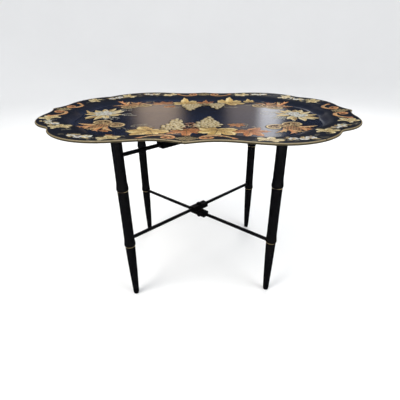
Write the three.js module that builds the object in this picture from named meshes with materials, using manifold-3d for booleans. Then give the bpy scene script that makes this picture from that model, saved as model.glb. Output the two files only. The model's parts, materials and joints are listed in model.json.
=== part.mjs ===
// A painted sheet-metal tray that rests on a folding stand with bamboo-turned legs.
// Units are millimetres, +Z is up and +X runs along the tray's long side. The origin is on the
// floor under the middle of the tray.
//
// The stand is two flat leg frames, A and B, which cross in the middle and turn about two bolts on
// one upright axis. Each frame has two legs, a low stretcher and a top rail. Frame A's rail lies
// under frame B's, and its stretcher lies over frame B's.
import * as THREE from "three";
import { mergeVertices } from "three/addons/utils/BufferGeometryUtils.js";
import Module from "manifold-3d";

const wasm = await Module();
wasm.setup();

// ---- driving dimensions -----------------------------------------------------------------------
const GAP = 0.3; // clearance between pieces that touch

const TRAY_HALF_WIDTH = 390; // to the points in the middle of the short sides
const TRAY_HALF_DEPTH = 303; // to the top of the lobes on the long sides
const LONG_SIDE_POINT = 301.5; // to the points in the middle of the long sides
const SHEET = 1.2; // thickness of the tray's steel sheet
const ROLL_RADIUS = 2.4; // outside radius of the edge, rolled over a wire
const WIRE_RADIUS = ROLL_RADIUS - SHEET - GAP;
const TRAY_HEIGHT = 18;
const BRIM_SLOPE_DEG = 4.5;
const ROLL_END_DEG = -140; // the roll stops here, short of the brim's underside

const LEG_HEIGHT = 448.7;
const LEG_CIRCLE_RADIUS = 245.3; // from the pivot to each leg's axis
const FRAME_A_AZIMUTH_DEG = 48.2; // direction of the back right leg
const FRAME_B_AZIMUTH_DEG = -36.5; // direction of the front right leg
const LOWER_RING_Z = 162; // the two nodes turned on each leg
const UPPER_RING_Z = 317;
const LEG_FACETS = 20;

const STRETCHER_Z = { a: 180, b: 162 };
const TOP_RAIL_Z = { a: 399, b: 417 };
const BLOCK_HEIGHT = 16.6; // of the hubs and top rails
const HUB = { length: 56, width: 20 };
const TOP_RAIL = { length: 260, width: 24 };
const BLOCK_CHAMFER = 1.5;

const ROD_RADIUS = 4.75;
const ROD_FACETS = 16;
const SOCKET_RADIUS = ROD_RADIUS + 0.35;
const SOCKET_PAST_LEG_AXIS = 4;
const HUB_SOCKET_DEPTH = 16;
const RAIL_SOCKET_DEPTH = 20;

const BOLT_RADIUS = 3;
const BOLT_HOLE_RADIUS = BOLT_RADIUS + GAP;
const HEAD = { radius: 7.5, height: 3.2 };
const NUT = { acrossFlats: 10, height: 5 };
const BOLT_TAIL = 1.9; // how far the bolt stands out of its nut
const WASHER = { radius: 8, thickness: 1.2 };
const MIDDLE_WASHER = { radius: 9.5, thickness: 0.8 };
const HEAD_RECESS = { radius: 10, depth: 6 }; // the upper bolt's head sits in this
const RECESSED_WASHER_THICKNESS = 1;

// ---- materials --------------------------------------------------------------------------------
const material = (color, roughness, metalness = 0) =>
  new THREE.MeshStandardMaterial({ color, roughness, metalness });
const LACQUERED_STEEL = material(0x1b2438, 0.22);
const BARE_WIRE = material(0x8d8d90, 0.4, 1);
const BLACK_WOOD = material(0x0b0b0d, 0.35);
const BLACK_STEEL = material(0x1a1a1c, 0.45, 1);
const FIBRE = material(0x2a211b, 0.9);

// ---- solids -----------------------------------------------------------------------------------
function toSolid(geometry) {
  const bare = geometry.clone();
  bare.deleteAttribute("normal");
  bare.deleteAttribute("uv");
  const merged = mergeVertices(bare, 1e-3);
  return new wasm.Manifold(
    new wasm.Mesh({
      numProp: 3,
      vertProperties: merged.attributes.position.array,
      triVerts: new Uint32Array(merged.index.array),
    }),
  );
}

function toGeometry(solid) {
  const { vertProperties, triVerts } = solid.getMesh();
  const geometry = new THREE.BufferGeometry();
  geometry.setAttribute("position", new THREE.BufferAttribute(vertProperties, 3));
  geometry.setIndex(new THREE.BufferAttribute(triVerts, 1));
  geometry.computeVertexNormals();
  return geometry;
}

function cut(geometry, ...tools) {
  return toGeometry(tools.reduce((solid, tool) => solid.subtract(toSolid(tool)), toSolid(geometry)));
}

// A cylinder along X from one x to another, at height z.
function rodAlongX(radius, fromX, toX, z) {
  return new THREE.CylinderGeometry(radius, radius, Math.abs(toX - fromX), ROD_FACETS)
    .rotateZ(Math.PI / 2)
    .translate((fromX + toX) / 2, 0, z);
}

// A cylinder along Z on the pivot's axis.
function plug(radius, fromZ, toZ) {
  return new THREE.CylinderGeometry(radius, radius, toZ - fromZ, 24)
    .rotateX(Math.PI / 2)
    .translate(0, 0, (fromZ + toZ) / 2);
}

function washer(radius, fromZ, thickness) {
  const toZ = fromZ + thickness;
  return cut(plug(radius, fromZ, toZ), plug(BOLT_HOLE_RADIUS, fromZ - 1, toZ + 1));
}

// ---- the tray ---------------------------------------------------------------------------------
// One quarter of the tray's outline, from the point of the short side round to that of the long
// side. Two lobes meet in a soft notch at the corner. Each piece is a number of steps and the four
// control points of a cubic curve.
function quarterOutline() {
  const pieces = [
    [5, TRAY_HALF_WIDTH, 0, 381, 17, 373, 38, 373.3, 70],
    [6, 373.3, 70, 374.5, 128, 348, 180, 307, 201],
    [3, 307, 201, 299, 205.5, 293.5, 215, 289.5, 225],
    [6, 289.5, 225, 276, 253, 232, TRAY_HALF_DEPTH, 168, TRAY_HALF_DEPTH],
    [5, 168, TRAY_HALF_DEPTH, 128, TRAY_HALF_DEPTH, 96, 285.5, 60, 285.5],
    [4, 60, 285.5, 38, 285.5, 18, 294, 0, LONG_SIDE_POINT],
  ];
  return pieces.flatMap(([steps, ...c]) =>
    new THREE.CubicBezierCurve(
      ...[0, 2, 4, 6].map((i) => new THREE.Vector2(c[i], c[i + 1])),
    )
      .getPoints(steps)
      .slice(0, steps),
  );
}

// The whole outline, anticlockwise from the point on +X. Each quarter gives up its last point,
// which is the next quarter's first.
function wholeOutline() {
  const quarter = quarterOutline();
  const back = [new THREE.Vector2(0, LONG_SIDE_POINT), ...quarter.slice(1).reverse()];
  const half = [...quarter, ...back.map((p) => new THREE.Vector2(-p.x, p.y))];
  return [...half, ...half.map((p) => new THREE.Vector2(-p.x, -p.y))];
}

const OUTLINE = wholeOutline();
const COUNT = OUTLINE.length;
const SOFT_OUTLINE = smoothed(OUTLINE, 6);
const INWARD = OUTLINE.map((_, i) => {
  const before = OUTLINE[(i + COUNT - 1) % COUNT];
  const after = OUTLINE[(i + 1) % COUNT];
  return new THREE.Vector2(before.y - after.y, after.x - before.x).normalize();
});

function smoothed(points, rounds) {
  let now = points;
  for (let round = 0; round < rounds; round++) {
    now = now.map((p, i) =>
      p
        .clone()
        .multiplyScalar(2)
        .add(now[(i + COUNT - 1) % COUNT])
        .add(now[(i + 1) % COUNT])
        .divideScalar(4),
    );
  }
  return now;
}

// The outline's i-th point, moved in by inset: square to the edge for the roll's width, and beyond
// it by shrinking the outline, which also softens.
function insetPoint(i, inset) {
  const square = Math.min(inset, 2 * ROLL_RADIUS);
  const shrink = inset - square;
  const soft = Math.min(shrink / 50, 1);
  const p = OUTLINE[i].clone().lerp(SOFT_OUTLINE[i], soft);
  p.x *= 1 - shrink / TRAY_HALF_WIDTH;
  p.y *= 1 - shrink / TRAY_HALF_DEPTH;
  return p.addScaledVector(INWARD[i], square);
}

// The middle of the sheet, as [inset, height] pairs from the edge of the flat floor, up the side,
// out over the brim and round the rolled edge.
function sheetMiddle() {
  const slope = Math.tan(THREE.MathUtils.degToRad(BRIM_SLOPE_DEG));
  const bend = ROLL_RADIUS - SHEET / 2;
  const rollHeight = TRAY_HEIGHT - ROLL_RADIUS;
  const roll = [];
  const steps = 7;
  for (let k = 0; k <= steps; k++) {
    const a = THREE.MathUtils.degToRad(
      THREE.MathUtils.lerp(90 + BRIM_SLOPE_DEG, ROLL_END_DEG, k / steps),
    );
    roll.push([ROLL_RADIUS - bend * Math.cos(a), rollHeight + bend * Math.sin(a)]);
  }
  const [brimEdge, brimTop] = roll[0];
  const brimInner = 52;
  const brimLow = brimTop - (brimInner - brimEdge) * slope;
  const side = [
    [84, SHEET / 2],
    [76, 1.9],
    [69, 5.2],
    [62.5, 9.6],
    [57, brimLow - 1.1],
    [brimInner, brimLow],
  ];
  return [...side, ...roll];
}

// The two faces of a sheet whose middle is given, as one run from the floor's top face round the
// edge to its underside.
function thicken(middle) {
  const faces = [1, -1].map((side) =>
    middle.map(([inset, height], k) => {
      const [i0, h0] = middle[Math.max(k - 1, 0)];
      const [i1, h1] = middle[Math.min(k + 1, middle.length - 1)];
      const along = new THREE.Vector2(i1 - i0, h1 - h0).normalize();
      const out = side * (SHEET / 2);
      return k === 0 ? [inset, height + out] : [inset + along.y * out, height - along.x * out];
    }),
  );
  return [...faces[0], ...faces[1].reverse()];
}

// Rings of the outline at each [inset, height], joined into one surface. A run is closed by the
// floor's middle at both ends; a loop closes on itself.
function ringSurface(section, closesOnItself) {
  const positions = section.flatMap(([inset, height]) =>
    OUTLINE.flatMap((_, i) => {
      const p = insetPoint(i, inset);
      return [p.x, p.y, height];
    }),
  );
  const faces = [];
  const rings = section.length;
  for (let r = 0; r < (closesOnItself ? rings : rings - 1); r++) {
    const [from, to] = [r * COUNT, ((r + 1) % rings) * COUNT];
    for (let i = 0; i < COUNT; i++) {
      const j = (i + 1) % COUNT;
      faces.push(from + i, to + i, to + j, from + i, to + j, from + j);
    }
  }
  if (!closesOnItself) {
    const top = positions.length / 3;
    positions.push(0, 0, section[0][1], 0, 0, section[rings - 1][1]);
    const last = (rings - 1) * COUNT;
    for (let i = 0; i < COUNT; i++) {
      const j = (i + 1) % COUNT;
      faces.push(top, i, j, top + 1, last + j, last + i);
    }
  }
  const geometry = new THREE.BufferGeometry();
  geometry.setAttribute("position", new THREE.Float32BufferAttribute(positions, 3));
  geometry.setIndex(faces);
  geometry.computeVertexNormals();
  return geometry;
}

function edgeWire() {
  const sides = 6;
  const section = [];
  for (let k = 0; k < sides; k++) {
    const a = (-2 * Math.PI * k) / sides;
    section.push([
      ROLL_RADIUS - WIRE_RADIUS * Math.cos(a),
      TRAY_HEIGHT - ROLL_RADIUS + WIRE_RADIUS * Math.sin(a),
    ]);
  }
  return ringSurface(section, true);
}

// ---- the stand --------------------------------------------------------------------------------
// A leg's outline: a tapered foot, then two stretches that each swell out over a ring.
function legProfile() {
  const swell = (ringZ, below, shaft) => [
    [below, ringZ - 2],
    [13.9, ringZ],
    [14.1, ringZ + 4],
    [shaft, ringZ + 15],
  ];
  return [
    [0, 0],
    [5, 0],
    [6.8, 1.6],
    [7.5, 5],
    [10.2, 70],
    ...swell(LOWER_RING_Z, 12.5, 12.8),
    ...swell(UPPER_RING_Z, 12.8, 12.7),
    [12.2, LEG_HEIGHT],
    [0, LEG_HEIGHT],
  ].map(([r, z]) => new THREE.Vector2(r, z));
}

// A leg of the frame, at +X or -X of the pivot, with blind sockets for its stretcher and rail.
function leg(side, frame) {
  const axisX = side * LEG_CIRCLE_RADIUS;
  const turned = new THREE.LatheGeometry(legProfile(), LEG_FACETS)
    .rotateX(Math.PI / 2)
    .translate(axisX, 0, 0);
  const socketEnd = axisX + side * SOCKET_PAST_LEG_AXIS;
  const outside = axisX - side * 20;
  const sockets = [STRETCHER_Z[frame], TOP_RAIL_Z[frame]].map((z) =>
    rodAlongX(SOCKET_RADIUS, outside, socketEnd, z),
  );
  return cut(turned, ...sockets);
}

// A bar that crosses the pivot, with a socket in each end and a hole for the bolt.
function block({ length, width }, z, socketDepth) {
  const [x, y] = [length / 2 - BLOCK_CHAMFER, width / 2 - BLOCK_CHAMFER];
  const plan = new THREE.Shape([
    new THREE.Vector2(-x, -y),
    new THREE.Vector2(x, -y),
    new THREE.Vector2(x, y),
    new THREE.Vector2(-x, y),
  ]);
  const body = new THREE.ExtrudeGeometry(plan, {
    depth: BLOCK_HEIGHT - 2 * BLOCK_CHAMFER,
    bevelThickness: BLOCK_CHAMFER,
    bevelSize: BLOCK_CHAMFER,
    bevelSegments: 1,
  }).translate(0, 0, z - BLOCK_HEIGHT / 2 + BLOCK_CHAMFER);
  const sockets = [1, -1].map((side) =>
    rodAlongX(SOCKET_RADIUS, side * (length / 2 - socketDepth), side * (length / 2 + 5), z),
  );
  return [body, ...sockets, plug(BOLT_HOLE_RADIUS, z - BLOCK_HEIGHT, z + BLOCK_HEIGHT)];
}

function topRail(frame) {
  const z = TOP_RAIL_Z[frame];
  const [body, ...tools] = block(TOP_RAIL, z, RAIL_SOCKET_DEPTH);
  const top = z + BLOCK_HEIGHT / 2;
  const recess = plug(HEAD_RECESS.radius, top - HEAD_RECESS.depth, top + 5);
  return frame === "b" ? cut(body, ...tools, recess) : cut(body, ...tools);
}

function hub(frame) {
  const [body, ...tools] = block(HUB, STRETCHER_Z[frame], HUB_SOCKET_DEPTH);
  return cut(body, ...tools);
}

// A rod from the bottom of a block's socket to the bottom of a leg's.
function rod(side, z, block, socketDepth) {
  const inner = block.length / 2 - socketDepth + GAP;
  const outer = LEG_CIRCLE_RADIUS + SOCKET_PAST_LEG_AXIS - GAP;
  return rodAlongX(ROD_RADIUS, side * inner, side * outer, z);
}

// ---- the pivots -------------------------------------------------------------------------------
// A bolt with a low domed head, from its tail to the underside of the head.
function bolt(tailZ, headZ) {
  const profile = [
    [0, tailZ],
    [BOLT_RADIUS - 0.5, tailZ],
    [BOLT_RADIUS, tailZ + 0.6],
    [BOLT_RADIUS, headZ],
    [HEAD.radius, headZ],
    [HEAD.radius, headZ + 0.3 * HEAD.height],
    [0.72 * HEAD.radius, headZ + 0.8 * HEAD.height],
    [0.35 * HEAD.radius, headZ + HEAD.height],
    [0, headZ + HEAD.height],
  ].map(([r, z]) => new THREE.Vector2(r, z));
  return new THREE.LatheGeometry(profile, 24).rotateX(Math.PI / 2);
}

function nut(topZ) {
  const corner = NUT.acrossFlats / Math.sqrt(3);
  const hexagon = new THREE.CylinderGeometry(corner, corner, NUT.height, 6)
    .rotateX(Math.PI / 2)
    .translate(0, 0, topZ - NUT.height / 2);
  return cut(hexagon, plug(BOLT_HOLE_RADIUS, topZ - NUT.height - 1, topZ + 1));
}

// The bolt, nut and washers that hold two crossing blocks, from the upper face down.
function pivotPieces(name, seatZ, seatWasher, upperBlockZ, lowerBlockZ) {
  const headZ = seatZ + GAP + seatWasher + GAP;
  const middle = (upperBlockZ + lowerBlockZ) / 2;
  const bottomWasher = lowerBlockZ - BLOCK_HEIGHT / 2 - GAP - WASHER.thickness;
  const nutTop = bottomWasher - GAP;
  const middleBottom = middle - MIDDLE_WASHER.thickness / 2;
  return {
    [`${name}_pivot_bolt`]: [bolt(nutTop - NUT.height - BOLT_TAIL, headZ), BLACK_STEEL],
    [`${name}_pivot_washer_top`]: [washer(WASHER.radius, seatZ + GAP, seatWasher), BLACK_STEEL],
    [`${name}_pivot_washer_middle`]: [
      washer(MIDDLE_WASHER.radius, middleBottom, MIDDLE_WASHER.thickness),
      FIBRE,
    ],
    [`${name}_pivot_washer_bottom`]: [
      washer(WASHER.radius, bottomWasher, WASHER.thickness),
      BLACK_STEEL,
    ],
    [`${name}_pivot_nut`]: [nut(nutTop), BLACK_STEEL],
  };
}

// ---- the assembly -----------------------------------------------------------------------------
function addAll(group, pieces) {
  for (const [name, [geometry, look]] of Object.entries(pieces)) {
    const mesh = new THREE.Mesh(geometry, look);
    mesh.name = name;
    group.add(mesh);
  }
  return group;
}

function tray() {
  const group = addAll(new THREE.Group(), {
    tray_body: [ringSurface(thicken(sheetMiddle()), false), LACQUERED_STEEL],
    tray_edge_wire: [edgeWire(), BARE_WIRE],
  });
  group.position.z = LEG_HEIGHT + GAP;
  return group;
}

// One leg frame. Its right leg is at +X before the frame is turned to its azimuth.
function legFrame(frame, azimuthDeg, rightLeg, leftLeg, hubName, railName) {
  const stretcherZ = STRETCHER_Z[frame];
  const railZ = TOP_RAIL_Z[frame];
  const pieces = {
    [hubName]: [hub(frame), BLACK_WOOD],
    [railName]: [topRail(frame), BLACK_WOOD],
  };
  for (const [side, place] of [
    [1, rightLeg],
    [-1, leftLeg],
  ]) {
    pieces[`leg_${place}`] = [leg(side, frame), BLACK_WOOD];
    pieces[`stretcher_rod_${place}`] = [rod(side, stretcherZ, HUB, HUB_SOCKET_DEPTH), BLACK_WOOD];
    pieces[`top_rail_dowel_${place}`] = [rod(side, railZ, TOP_RAIL, RAIL_SOCKET_DEPTH), BLACK_WOOD];
  }
  const group = addAll(new THREE.Group(), pieces);
  group.rotation.z = THREE.MathUtils.degToRad(azimuthDeg);
  return group;
}

const assembly = new THREE.Group();
assembly.add(
  tray(),
  legFrame(
    "a",
    FRAME_A_AZIMUTH_DEG,
    "back_right",
    "front_left",
    "stretcher_hub_upper",
    "top_rail_lower",
  ),
  legFrame(
    "b",
    FRAME_B_AZIMUTH_DEG,
    "front_right",
    "back_left",
    "stretcher_hub_lower",
    "top_rail_upper",
  ),
  addAll(new THREE.Group(), {
    ...pivotPieces(
      "lower",
      STRETCHER_Z.a + BLOCK_HEIGHT / 2,
      WASHER.thickness,
      STRETCHER_Z.a,
      STRETCHER_Z.b,
    ),
    ...pivotPieces(
      "upper",
      TOP_RAIL_Z.b + BLOCK_HEIGHT / 2 - HEAD_RECESS.depth,
      RECESSED_WASHER_THICKNESS,
      TOP_RAIL_Z.b,
      TOP_RAIL_Z.a,
    ),
  }),
);

export default assembly;
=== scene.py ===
"""A painted, lacquered tray on its folding stand of bamboo-turned legs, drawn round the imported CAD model.

Lengths are in millimetres unless a name says otherwise, and plan points start from the middle of the
tray. Everything that reaches Blender is in metres, in the CAD frame: +Z up, +X along the tray, origin
on the floor.
"""

import json
import math
import random

import bpy
import numpy as np
from mathutils import Matrix, Vector


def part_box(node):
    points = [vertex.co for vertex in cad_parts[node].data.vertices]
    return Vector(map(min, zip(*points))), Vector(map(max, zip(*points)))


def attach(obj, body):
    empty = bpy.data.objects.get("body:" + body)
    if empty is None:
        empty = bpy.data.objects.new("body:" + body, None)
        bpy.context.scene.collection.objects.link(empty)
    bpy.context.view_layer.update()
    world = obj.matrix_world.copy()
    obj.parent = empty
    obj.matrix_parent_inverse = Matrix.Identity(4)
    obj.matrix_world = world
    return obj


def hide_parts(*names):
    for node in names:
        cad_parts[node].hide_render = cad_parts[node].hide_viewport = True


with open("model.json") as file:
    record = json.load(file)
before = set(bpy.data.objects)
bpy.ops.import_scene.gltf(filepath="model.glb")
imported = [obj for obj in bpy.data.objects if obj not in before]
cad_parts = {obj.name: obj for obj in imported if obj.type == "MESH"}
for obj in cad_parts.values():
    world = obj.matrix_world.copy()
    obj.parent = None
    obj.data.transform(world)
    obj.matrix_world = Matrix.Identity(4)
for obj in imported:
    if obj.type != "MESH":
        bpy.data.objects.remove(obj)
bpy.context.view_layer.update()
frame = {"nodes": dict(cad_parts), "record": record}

MM = 0.001
TRAY_BASE_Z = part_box("tray_body")[0].z

# ---- the tray's shape ------------------------------------
# One quarter of the outline, from the point of the short side to that of the long side: a start, then
# the other three control points of each cubic curve.
QUARTER = [
    (390, 0),
    (381, 17), (373, 38), (373.3, 70),
    (374.5, 128), (348, 180), (307, 201),
    (299, 205.5), (293.5, 215), (289.5, 225),
    (276, 253), (232, 303), (168, 303),
    (128, 303), (96, 285.5), (60, 285.5),
    (38, 285.5), (18, 294), (0, 301.5),
]
HALF_WIDTH, HALF_DEPTH = 390, 303
QUARTER_STEPS = 180
SHEET = 1.2
ROLL_RADIUS = 2.4
TRAY_HEIGHT = 18
BRIM_SLOPE_DEG = 4.5
BRIM_INNER = 52  # inset of the ridge between the brim and the side
FLOOR_EDGE = 84  # inset where the side starts to rise
FLOOR_RING = 92  # inset of the last ring that lies flat
COVE_SOFTNESS = 15  # how far the inner lines round off the outline's points, as a sigma
SOFTENED_BY = 50  # inset past the roll by which a line is rounded off in full
GILT_BAND = 3.2  # width of the gilding on the brim's edge
PAINT_BODY = 0.35  # thickness of the painted layers
FLOOR_TOP_Z = TRAY_BASE_Z + SHEET * MM

# ---- the stand's shape -----------------------------------
LOWER_NODE_Z, UPPER_NODE_Z = 162, 317
ROD_RADIUS = 4.75

# ---- colours ---------------------------------------------


def srgb(r, g, b):
    """A colour given as 0 to 255, as linear light."""
    shares = (r / 255, g / 255, b / 255)
    return np.array([c / 12.92 if c <= 0.04045 else ((c + 0.055) / 1.055) ** 2.4 for c in shares])


GOLD_LIGHT = srgb(240, 218, 160)
GOLD = srgb(214, 180, 112)
GOLD_DARK = srgb(150, 112, 56)
COPPER_LIGHT = srgb(224, 170, 120)
COPPER = srgb(198, 126, 76)
COPPER_DARK = srgb(132, 74, 42)
CREAM = srgb(238, 226, 188)
CREAM_DARK = srgb(150, 128, 78)
CREAM_GOLD = srgb(232, 206, 152)
WHITE = srgb(236, 236, 226)
PETAL = srgb(222, 222, 210)
COOL_SHADE = srgb(140, 160, 172)
GREEN_SHADE = srgb(132, 156, 120)
MAUVE_SHADE = srgb(150, 140, 164)
OLIVE = srgb(128, 116, 58)
VEIN = srgb(84, 64, 26)
BROWN = srgb(120, 76, 44)
RUSSET = srgb(122, 52, 34)
SHADOW = srgb(20, 18, 22)
BLACK = srgb(10, 12, 18)
TENDRIL = srgb(176, 168, 140)
LATTICE_LINE = srgb(214, 190, 140)


# ---- small tools -----------------------------------------


def left_of(d):
    """A plan direction, or each of several, turned left by 90 degrees."""
    return np.stack([-d[..., 1], d[..., 0]], -1)


def towards(degrees):
    """A plan direction, anticlockwise from +X."""
    a = math.radians(degrees)
    return np.array([math.cos(a), math.sin(a)])


def degrees_off(degrees, direction):
    """How far degrees lie from a direction, from -180 to 180."""
    return (degrees - direction + 180) % 360 - 180


def headings(path):
    """The direction of a run of points at each of them."""
    ahead = np.gradient(path, axis=0)
    return ahead / np.maximum(np.hypot(*ahead.T), 1e-9)[:, None]


def grid_faces(rows, columns, wrap=False):
    """Quads of a grid of points stored row by row. wrap joins the last column to the first."""
    faces = []
    for r in range(rows - 1):
        for c in range(columns if wrap else columns - 1):
            d = (c + 1) % columns
            a, b = r * columns, (r + 1) * columns
            faces.append((a + c, a + d, b + d, b + c))
    return faces


def make_object(name, points, faces, materials, slots=None):
    """A smooth mesh object from points in metres."""
    mesh = bpy.data.meshes.new(name)
    mesh.from_pydata([tuple(p) for p in points], [], faces)
    for m in materials:
        mesh.materials.append(m)
    if slots is not None:
        mesh.polygons.foreach_set("material_index", slots)
    mesh.polygons.foreach_set("use_smooth", [True] * len(faces))
    mesh.update()
    obj = bpy.data.objects.new(name, mesh)
    bpy.context.scene.collection.objects.link(obj)
    return obj


def colour_points(obj, name, colours):
    """Gives each point of a mesh its colour, for a material to read by name."""
    layer = obj.data.color_attributes.new(name, "FLOAT_COLOR", "POINT")
    rgba = np.column_stack([colours, np.ones(len(colours))]).astype(np.float32)
    layer.data.foreach_set("color", rgba.ravel())


def lathe(name, profile, centre, materials, segments=64, slot_of=lambda band: 0, capped=True):
    """A turned piece. profile is [(radius, height)] in millimetres, from the bottom up. slot_of gives
    the material slot of the band that starts at a profile point."""
    angles = np.linspace(0, 2 * math.pi, segments, endpoint=False)
    points = [(r * MM * math.cos(a), r * MM * math.sin(a), z * MM) for r, z in profile for a in angles]
    faces = grid_faces(len(profile), segments, wrap=True)
    slots = [slot_of(i // segments) for i in range(len(faces))]
    if capped:
        last = len(profile) - 1
        faces += [list(range(segments))[::-1], [last * segments + i for i in range(segments)]]
        slots += [slot_of(0), slot_of(last)]
    obj = make_object(name, points, faces, materials, slots)
    obj.data.transform(Matrix.Translation(centre))
    return obj


def smooth_through(points, steps):
    """A smooth run through the given points, by Catmull-Rom."""
    p = np.array(points, float)
    p = np.vstack([2 * p[0] - p[1], p, 2 * p[-1] - p[-2]])
    run = []
    for i in range(1, len(p) - 2):
        t = np.linspace(0, 1, steps, endpoint=False)[:, None]
        a, b, c, d = p[i - 1], p[i], p[i + 1], p[i + 2]
        run.append(
            0.5
            * (2 * b + (c - a) * t + (2 * a - 5 * b + 4 * c - d) * t**2 + (3 * b - a - 3 * c + d) * t**3)
        )
    return np.vstack([*run, p[-2]])


# ---- materials -------------------------------------------


class Shader:
    """A material with one surface node, and short ways to add what feeds it. Wherever a method takes a
    source it takes a node's output or a plain value."""

    def __init__(self, name, surface="ShaderNodeBsdfPrincipled", **values):
        self.material = bpy.data.materials.new(name)
        self.material.use_nodes = True
        self.tree = self.material.node_tree
        self.tree.nodes.clear()
        self.surface = self.add(surface)
        self.add("ShaderNodeOutputMaterial", {"Surface": self.surface.outputs[0]})
        self.feed(**values)
        self.place = self.add("ShaderNodeTexCoord").outputs["Object"]

    def add(self, kind, sources=(), **settings):
        """Adds a node, with its settings and the sources of its inputs."""
        node = self.tree.nodes.new(kind)
        for key, value in settings.items():
            setattr(node, key, value)
        for key, source in dict(sources).items():
            self.link(source, node.inputs[key])
        return node

    def link(self, source, target):
        if hasattr(source, "is_linked"):
            self.tree.links.new(source, target)
        else:
            target.default_value = source

    def feed(self, **sources):
        """Feeds inputs of the surface, named with underlines for spaces."""
        for key, source in sources.items():
            self.link(source, self.surface.inputs[key.replace("_", " ")])

    def stretched(self, scale):
        return self.add("ShaderNodeMapping", {"Vector": self.place, "Scale": scale}).outputs[0]

    def noise(self, scale, detail, roughness=0.55, vector=None):
        sources = {"Scale": scale, "Detail": detail, "Roughness": roughness}
        return self.add("ShaderNodeTexNoise", {"Vector": vector or self.place, **sources}).outputs[0]

    def ramp(self, factor, low, high, low_at=0.0, high_at=1.0):
        """Maps factor from low_at..high_at to low..high, which are numbers."""
        sources = {"Value": factor, "From Min": low_at, "From Max": high_at, "To Min": low, "To Max": high}
        return self.add("ShaderNodeMapRange", sources).outputs[0]

    def by_height(self, low, high, low_at, high_at):
        """Maps the height over the tray's floor, in millimetres, from low_at..high_at to low..high."""
        height = self.add("ShaderNodeSeparateXYZ", {0: self.place}).outputs["Z"]
        return self.ramp(height, low, high, FLOOR_TOP_Z + low_at * MM, FLOOR_TOP_Z + high_at * MM)

    def mix(self, factor, a, b, blend="MIX"):
        a, b = ((*c, 1) if isinstance(c, np.ndarray) else c for c in (a, b))
        sources = {0: factor, 6: a, 7: b}
        return self.add("ShaderNodeMix", sources, data_type="RGBA", blend_type=blend).outputs[2]

    def maths(self, operation, a, b):
        return self.add("ShaderNodeMath", {0: a, 1: b}, operation=operation).outputs[0]

    def bump(self, *layers):
        """Stacks bumps, each (height, strength, distance in mm)."""
        below = {}
        for height, strength, distance in layers:
            sources = {"Strength": strength, "Distance": distance * MM, "Height": height, **below}
            below = {"Normal": self.add("ShaderNodeBump", sources).outputs[0]}
        self.feed(**below)


def lacquer_material():
    """Near-black navy japanning: deep gloss, slight waves in the sheet, fine scuffs and dust. The
    curved side and the brim are rubbed dull."""
    s = Shader("tray_lacquer", Coat_Roughness=0.045, Specular_IOR_Level=0.5)
    clouds = s.noise(5.0, 5.0)
    colour = s.mix(s.ramp(clouds, 0.0, 1.0, 0.3, 0.75), srgb(9, 14, 27), srgb(22, 35, 60))
    # Painted shade: the side and the brim are painted darker than the floor, more so with height.
    colour = s.mix(s.by_height(0.0, 0.75, 1.0, 13.0), colour, srgb(7, 8, 13))
    specks = s.ramp(s.noise(900.0, 2.0), 0.0, 0.35, 0.66, 0.74)
    colour = s.mix(specks, colour, srgb(62, 66, 74))
    scuffs = s.noise(60.0, 8.0, 0.7, s.stretched((1.0, 5.0, 1.0)))
    smooth = s.ramp(s.maths("MULTIPLY", scuffs, clouds), 0.10, 0.34, 0.12, 0.5)
    off_floor = s.by_height(0.0, 1.0, 0.4, 3.0)
    rough = s.maths("ADD", smooth, s.maths("MULTIPLY", off_floor, 0.34))
    s.feed(Base_Color=colour, Roughness=rough, Coat_Weight=s.ramp(off_floor, 0.7, 0.03, 0.0, 0.8))
    s.bump((s.noise(7.0, 2.0), 0.25, 1.6), (s.noise(420.0, 3.0), 0.06, 0.05))
    return s.material


def gilt_material(name, wear, painted_shade_below=None):
    """Gold leaf over dark size: warm, rubbed through in places, with painted shade below a given height."""
    s = Shader(name, Coat_Weight=0.3, Coat_Roughness=0.2)
    patches = s.noise(70.0, 6.0, 0.65)
    gold = s.mix(s.noise(160.0, 3.0), srgb(206, 176, 118), srgb(240, 222, 176))
    if painted_shade_below is not None:
        # Painted shade: below the given height, on the roll's lower side, the gold is painted a dull grey.
        gold = s.mix(s.by_height(0.12, 1.0, painted_shade_below - 1.2, painted_shade_below), srgb(92, 84, 68), gold)
    rubbed = s.ramp(patches, 0.0, 1.0, wear, wear + 0.08)
    gold = s.mix(rubbed, gold, srgb(60, 44, 26))
    rough = s.ramp(s.noise(240.0, 4.0), 0.28, 0.5)
    s.feed(Base_Color=gold, Metallic=s.ramp(rubbed, 0.75, 0.1), Roughness=rough)
    s.bump((patches, 0.2, 0.2), (s.noise(900.0, 2.0), 0.15, 0.04))
    return s.material


def paint_material():
    """Bronze powder and oil colour under varnish. Its hues are painted on each mesh."""
    s = Shader("painted_decoration", Coat_Weight=0.5, Coat_Roughness=0.1, Metallic=0.3)
    hue = s.add("ShaderNodeVertexColor", layer_name="paint").outputs["Color"]
    strokes = s.noise(230.0, 6.0, 0.7, s.stretched((1.0, 3.0, 1.0)))
    dabs = s.noise(55.0, 4.0)
    hue = s.mix(s.ramp(strokes, 0.0, 0.55, 0.42, 0.8), hue, srgb(150, 120, 80), "MULTIPLY")
    hue = s.mix(s.ramp(dabs, 0.0, 0.5, 0.45, 0.8), hue, srgb(255, 240, 200), "SOFT_LIGHT")
    s.feed(Base_Color=hue, Roughness=s.ramp(strokes, 0.3, 0.5))
    s.bump((strokes, 0.3, 0.12), (s.noise(1100.0, 2.0), 0.12, 0.03))
    return s.material


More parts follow.
